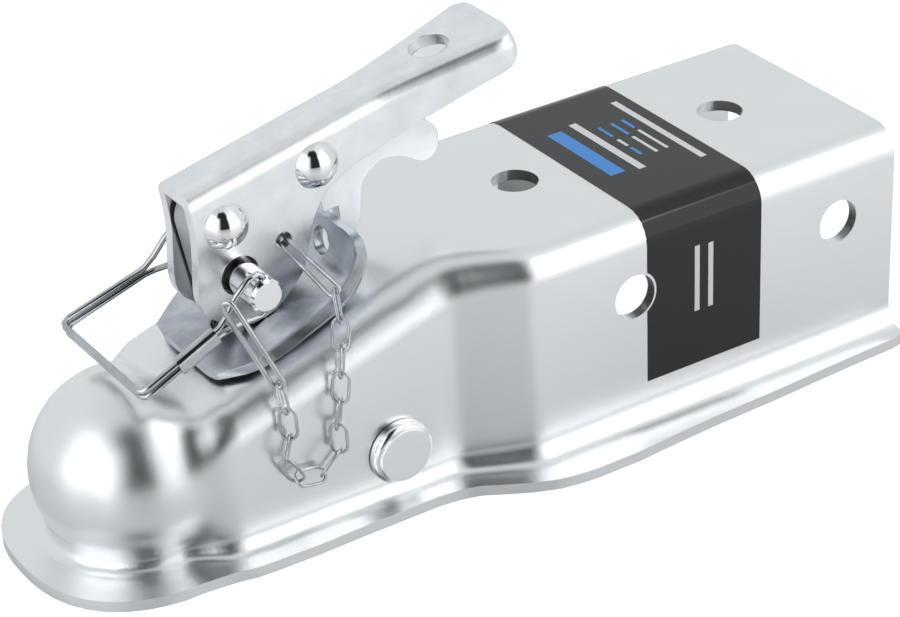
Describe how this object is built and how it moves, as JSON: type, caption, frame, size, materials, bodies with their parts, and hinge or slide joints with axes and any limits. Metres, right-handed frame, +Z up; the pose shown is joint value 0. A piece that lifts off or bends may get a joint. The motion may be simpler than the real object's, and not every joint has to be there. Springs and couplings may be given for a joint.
{
  "type": "trailer coupling head",
  "caption": "Straight-tongue trailer coupling head in zinc-plated pressed steel, with a trigger lever, lock pin bail and keeper chain.",
  "frame": {"origin": "on the ball's vertical axis, at the level of the flange's underside", "axes": "+X from the ball along the body towards the trailer tongue, +Z up, +Y to the left when facing the tongue"},
  "size_m": [0.2802, 0.1126, 0.1273],
  "materials": {
    "zinc_body": "satin",
    "zinc_plate": "satin",
    "bright_steel": "polished",
    "spring_steel": "satin",
    "cast_clamp": "rough",
    "label": "gloss"
  },
  "bodies": {
    "housing": {"housing": "zinc_body", "label_band": "label", "saddle_plate": "zinc_plate", "cross_rivet": "bright_steel", "clamp_spacers": "zinc_plate", "clamp_spring": "spring_steel", "upper_washer": "zinc_plate"},
    "clamp": {"ball_clamp": "cast_clamp"},
    "stud": {"draw_stud": "spring_steel", "lower_washer": "zinc_plate", "adjusting_nut": "zinc_plate"},
    "lever": {"lever": "zinc_plate", "lever_rivet": "bright_steel", "trigger_rivet": "bright_steel", "trigger_spring": "spring_steel", "lever_clip": "bright_steel"},
    "trigger": {"trigger": "zinc_plate"},
    "bail": {"lock_pin": "bright_steel", "bail_wire": "bright_steel", "bail_ferrule": "bright_steel", "pin_clip": "bright_steel", "chain_links": "bright_steel"}
  },
  "joints": [
    {"name": "stud_slide", "type": "slide", "parent": "housing", "child": "stud", "axis": [0.1908, 0, -0.9816], "range_m": [0, 0.0045], "deforming": ["clamp_spring"]},
    {"name": "lever_swing", "type": "hinge", "parent": "stud", "child": "lever", "pos_m": [0.032, 0, 0.0924], "axis": [0, -1, 0], "range_deg": [0, 85]},
    {"name": "clamp_swing", "type": "hinge", "parent": "housing", "child": "clamp", "pos_m": [0.0693, 0, 0.0176], "axis": [0, -1, 0], "range_deg": [0, 7.8]},
    {"name": "trigger_pull", "type": "hinge", "parent": "lever", "child": "trigger", "pos_m": [0.0616, 0, 0.10209], "axis": [0, -1, 0], "range_deg": [0, 12], "stiffness_Nm_per_rad": 0.08, "springref_deg": -20.05},
    {"name": "bail_swing", "type": "hinge", "parent": "lever", "child": "bail", "pos_m": [0.0353, 0, 0.0757], "axis": [0, -1, 0], "range_deg": [-85, 0], "deforming": ["chain_links"]}
  ],
  "couplings": [
    {"joint": "stud_slide", "follows": "lever_swing", "m_per_rad": 0.003033},
    {"joint": "clamp_swing", "follows": "lever_swing", "ratio": 0.091756},
    {"joint": "bail_swing", "follows": "lever_swing", "ratio": -1}
  ]
}
